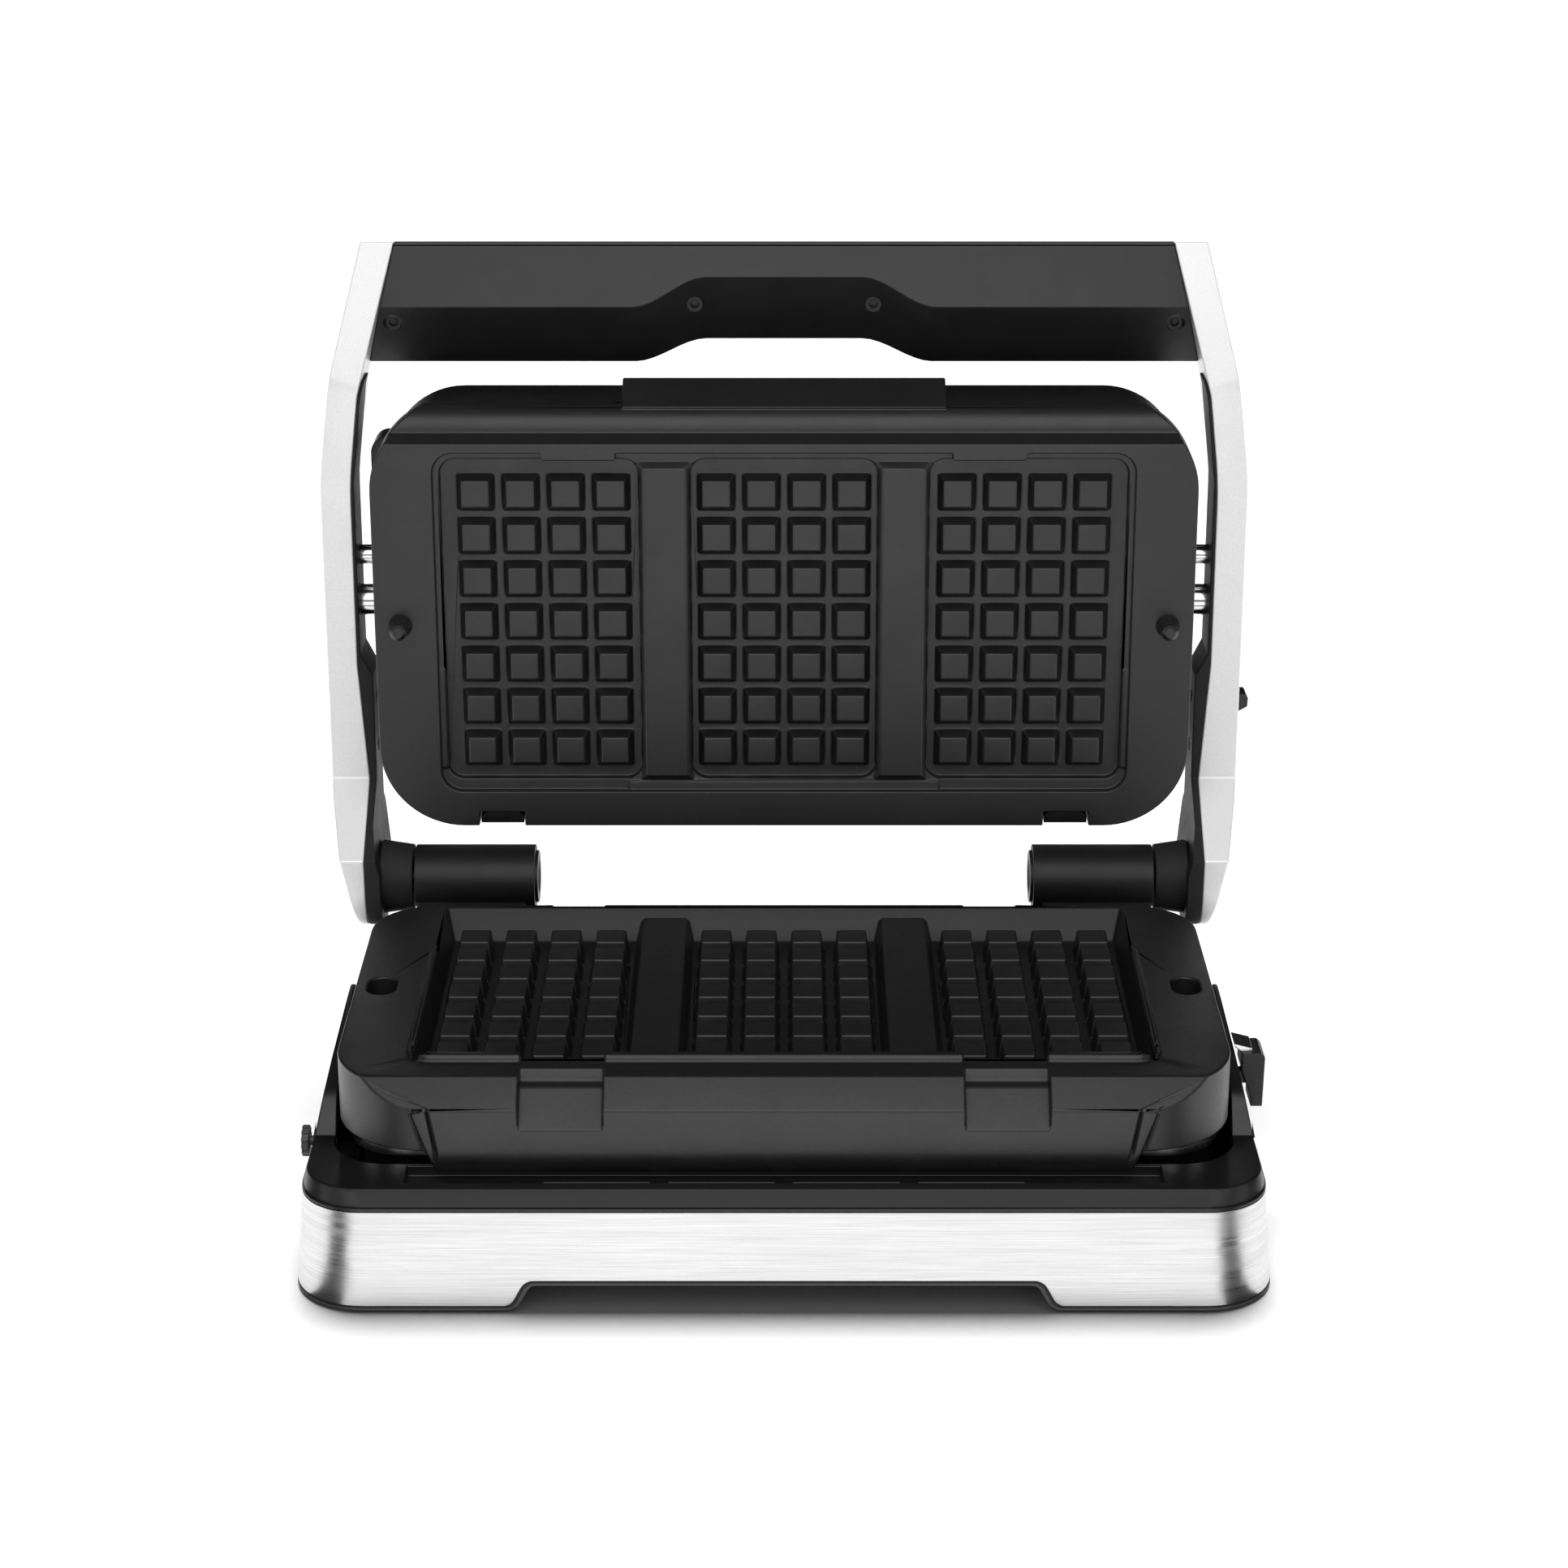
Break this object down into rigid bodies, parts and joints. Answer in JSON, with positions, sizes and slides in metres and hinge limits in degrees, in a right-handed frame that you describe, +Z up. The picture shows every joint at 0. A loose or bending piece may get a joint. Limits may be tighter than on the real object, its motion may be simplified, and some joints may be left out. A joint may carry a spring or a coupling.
{
  "type": "waffle maker",
  "caption": "Hinged waffle maker standing open, with removable grid plates, a floating upper half and a bar handle between two arms.",
  "frame": {"origin": "on the table under the middle of the appliance, at the centre of its footprint with the lid upright", "axes": "+X to the right seen from the front, +Y to the back, +Z up; the front faces -Y"},
  "size_m": [0.3575, 0.2693, 0.322],
  "materials": {
    "steel_band": "fine brushed along the side",
    "black_plastic": "satin black",
    "gasket": "matt",
    "pan_plastic": "satin grey",
    "foot_rubber": "matt",
    "screw_steel": "blackened, turned",
    "nonstick": "satin non-stick coating on cast aluminium",
    "pin_steel": "polished",
    "arm_silver": "satin silver",
    "handle_plastic": "satin dark grey",
    "lamp_lens": "clear red",
    "reflector_sheet": "bright sheet",
    "element_sheath": "heat-tinted tube",
    "ceramic": "pale moulding",
    "knob_grey": "satin dark grey"
  },
  "bodies": {
    "base": {"base_band": "steel_band", "band_seal": "gasket", "base_pan": "pan_plastic", "base_feet": "foot_rubber", "base_screws": "screw_steel", "base_cover": "black_plastic", "lower_reflector": "reflector_sheet", "lower_element": "element_sheath", "thermostat": "ceramic", "terminal_block": "ceramic", "browning_switch": "black_plastic", "cord_bush": "foot_rubber", "hinge_barrel_right": "black_plastic", "hinge_barrel_left": "black_plastic", "barrel_cap_right": "black_plastic", "barrel_cap_left": "black_plastic"},
    "lower_plate_body": {"lower_plate": "nonstick"},
    "lid": {"arm_left": "arm_silver", "arm_right": "arm_silver", "arm_liner_right": "black_plastic", "arm_liner_left": "black_plastic", "arm_screws": "screw_steel", "hinge_shaft_right": "pin_steel", "hinge_shaft_left": "pin_steel", "pivot_pins": "pin_steel", "limit_pins": "pin_steel", "handle_upper_shell": "handle_plastic", "handle_lower_shell": "handle_plastic", "handle_screws": "screw_steel", "pilot_lamps": "lamp_lens"},
    "upper_housing": {"lid_housing": "black_plastic", "lid_top_panel": "steel_band", "plate_hooks": "screw_steel", "upper_reflector": "reflector_sheet", "upper_element": "element_sheath"},
    "upper_plate_body": {"upper_plate": "nonstick", "guide_pins": "nonstick"},
    "hinge_release_body": {"hinge_release": "arm_silver"},
    "upper_release_body": {"upper_release_button": "black_plastic"},
    "lower_release_body": {"lower_release_lever": "black_plastic", "lower_catch": "pin_steel"},
    "knob_body": {"browning_knob": "knob_grey"}
  },
  "joints": [
    {"name": "lid_hinge", "type": "hinge", "parent": "base", "child": "lid", "pos_m": [0, 0.074, 0.0776], "axis": [1, 0, 0], "range_deg": [-90, 90]},
    {"name": "housing_float", "type": "hinge", "parent": "lid", "child": "upper_housing", "pos_m": [0, 0.102, 0.1819], "axis": [1, 0, 0], "range_deg": [-5, 0]},
    {"name": "upper_plate_lift", "type": "slide", "parent": "upper_housing", "child": "upper_plate_body", "axis": [0, 1, 0], "range_m": [-0.06, 0]},
    {"name": "lower_plate_lift", "type": "slide", "parent": "base", "child": "lower_plate_body", "axis": [0, 0, -1], "range_m": [-0.06, 0]},
    {"name": "upper_release", "type": "slide", "parent": "upper_housing", "child": "upper_release_body", "axis": [1, 0, 0], "range_m": [0, 0.003], "stiffness_N_per_m": 400},
    {"name": "lower_release", "type": "slide", "parent": "base", "child": "lower_release_body", "axis": [1, 0, 0], "range_m": [0, 0.004], "stiffness_N_per_m": 400},
    {"name": "hinge_release_slide", "type": "slide", "parent": "lid", "child": "hinge_release_body", "axis": [0, 0, 1], "range_m": [0, 0.005], "stiffness_N_per_m": 400},
    {"name": "browning_turn", "type": "hinge", "parent": "base", "child": "knob_body", "pos_m": [-0.168, -0.0838, 0.0404], "axis": [1, 0, 0], "range_deg": [0, 270]}
  ]
}
